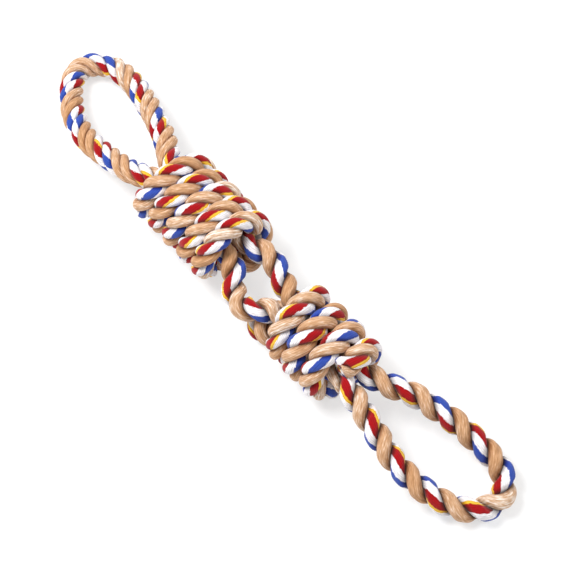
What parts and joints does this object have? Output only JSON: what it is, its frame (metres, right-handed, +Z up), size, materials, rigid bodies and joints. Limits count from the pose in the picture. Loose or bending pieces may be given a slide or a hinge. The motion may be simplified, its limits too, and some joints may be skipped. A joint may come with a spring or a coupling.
{
  "type": "rope dog toy",
  "caption": "Twisted cotton rope tug toy for a dog: a hand loop at each end, a wound barrel knot behind each loop and a short flexing rope bridge between the knots.",
  "frame": {"origin": "centre of the bounding box, on the ground that the toy lies on", "axes": "+X along the toy from hand loop A to hand loop B, +Z up off the ground, +Y to the left when looking along +X"},
  "size_m": [0.4061, 0.0696, 0.053],
  "materials": {
    "cotton_rope": "matte twisted cotton yarn, tan with white, red, yellow and blue yarns"
  },
  "bodies": {
    "knot_a": {"knot_a_winding": "cotton_rope", "knot_a_through_leg": "cotton_rope", "knot_a_riser": "cotton_rope", "knot_a_gripped_end": "cotton_rope", "bridge_left_leg_a": "cotton_rope", "bridge_right_leg_a": "cotton_rope"},
    "knot_b": {"knot_b_winding": "cotton_rope", "knot_b_through_leg": "cotton_rope", "knot_b_riser": "cotton_rope", "knot_b_gripped_end": "cotton_rope", "bridge_left_leg_b": "cotton_rope", "bridge_right_leg_b": "cotton_rope"},
    "loop_a": {"loop_a": "cotton_rope"},
    "loop_b": {"loop_b": "cotton_rope"}
  },
  "joints": [
    {"name": "bridge_fold", "type": "hinge", "parent": "knot_a", "child": "knot_b", "pos_m": [0.00385, -0.007, 0.02694], "axis": [0, -1, 0], "range_deg": [-55, 55]},
    {"name": "loop_a_fold", "type": "hinge", "parent": "knot_a", "child": "loop_a", "pos_m": [-0.09326, -0.00575, 0.02986], "axis": [0, 1, 0], "range_deg": [-55, 60]},
    {"name": "loop_b_fold", "type": "hinge", "parent": "knot_b", "child": "loop_b", "pos_m": [0.09366, -0.00825, 0.02709], "axis": [0, -1, 0], "range_deg": [-55, 60]}
  ]
}
